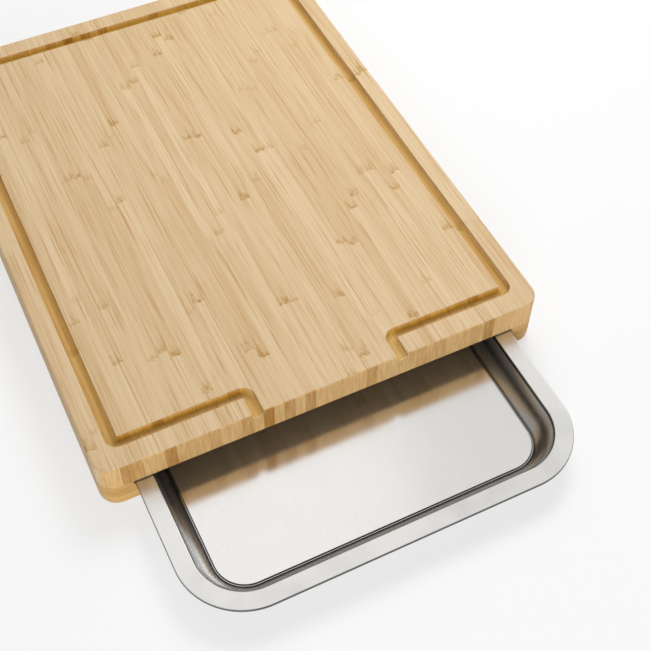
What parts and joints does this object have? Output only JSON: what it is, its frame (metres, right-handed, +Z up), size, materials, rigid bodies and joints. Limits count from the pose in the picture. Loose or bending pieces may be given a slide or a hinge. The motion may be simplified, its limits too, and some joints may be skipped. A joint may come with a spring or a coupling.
{
  "type": "cutting board with slide-out tray",
  "caption": "Bamboo cutting board with a juice groove that runs off into a stainless steel tray, which slides out from under it on ledged side rails.",
  "frame": {"origin": "on the standing surface, under the middle of the whole object with the tray drawn out as at rest", "axes": "+Z up through the cutting surface, +Y from the tray's front edge to the back of the board, +X to the right of someone facing the tray"},
  "size_m": [0.3, 0.4958, 0.04],
  "materials": {
    "bamboo_top": "oiled bamboo strips on edge, fine straight grain, satin",
    "bamboo_rail": "oiled bamboo strips laid flat, fine straight grain, satin",
    "stainless_steel": "satin stainless sheet, deep drawn"
  },
  "bodies": {
    "board": {"left_rail_layer_1": "bamboo_rail", "left_rail_layer_2": "bamboo_rail", "left_rail_layer_3": "bamboo_rail", "left_rail_layer_4": "bamboo_rail", "rear_rail_layer_1": "bamboo_rail", "rear_rail_layer_2": "bamboo_rail", "rear_rail_layer_3": "bamboo_rail", "rear_rail_layer_4": "bamboo_rail", "right_rail_layer_1": "bamboo_rail", "right_rail_layer_2": "bamboo_rail", "right_rail_layer_3": "bamboo_rail", "right_rail_layer_4": "bamboo_rail", "top_strip_01": "bamboo_top", "top_strip_02": "bamboo_top", "top_strip_03": "bamboo_top", "top_strip_04": "bamboo_top", "top_strip_05": "bamboo_top", "top_strip_06": "bamboo_top", "top_strip_07": "bamboo_top", "top_strip_08": "bamboo_top", "top_strip_09": "bamboo_top", "top_strip_10": "bamboo_top", "top_strip_11": "bamboo_top", "top_strip_12": "bamboo_top", "top_strip_13": "bamboo_top", "top_strip_14": "bamboo_top", "top_strip_15": "bamboo_top", "top_strip_16": "bamboo_top", "top_strip_17": "bamboo_top", "top_strip_18": "bamboo_top", "top_strip_19": "bamboo_top", "top_strip_20": "bamboo_top", "top_strip_21": "bamboo_top", "top_strip_22": "bamboo_top", "top_strip_23": "bamboo_top", "top_strip_24": "bamboo_top", "top_strip_25": "bamboo_top", "top_strip_26": "bamboo_top", "top_strip_27": "bamboo_top", "top_strip_28": "bamboo_top", "top_strip_29": "bamboo_top", "top_strip_30": "bamboo_top", "top_strip_31": "bamboo_top", "top_strip_32": "bamboo_top", "top_strip_33": "bamboo_top", "top_strip_34": "bamboo_top", "top_strip_35": "bamboo_top", "top_strip_36": "bamboo_top", "top_strip_37": "bamboo_top", "top_strip_38": "bamboo_top", "top_strip_39": "bamboo_top", "top_strip_40": "bamboo_top", "top_strip_41": "bamboo_top", "top_strip_42": "bamboo_top", "top_strip_43": "bamboo_top"},
    "tray": {"tray": "stainless_steel"}
  },
  "joints": [
    {"name": "tray_slide", "type": "slide", "parent": "board", "child": "tray", "axis": [0, -1, 0], "range_m": [-0.1057, 0.2563]}
  ]
}
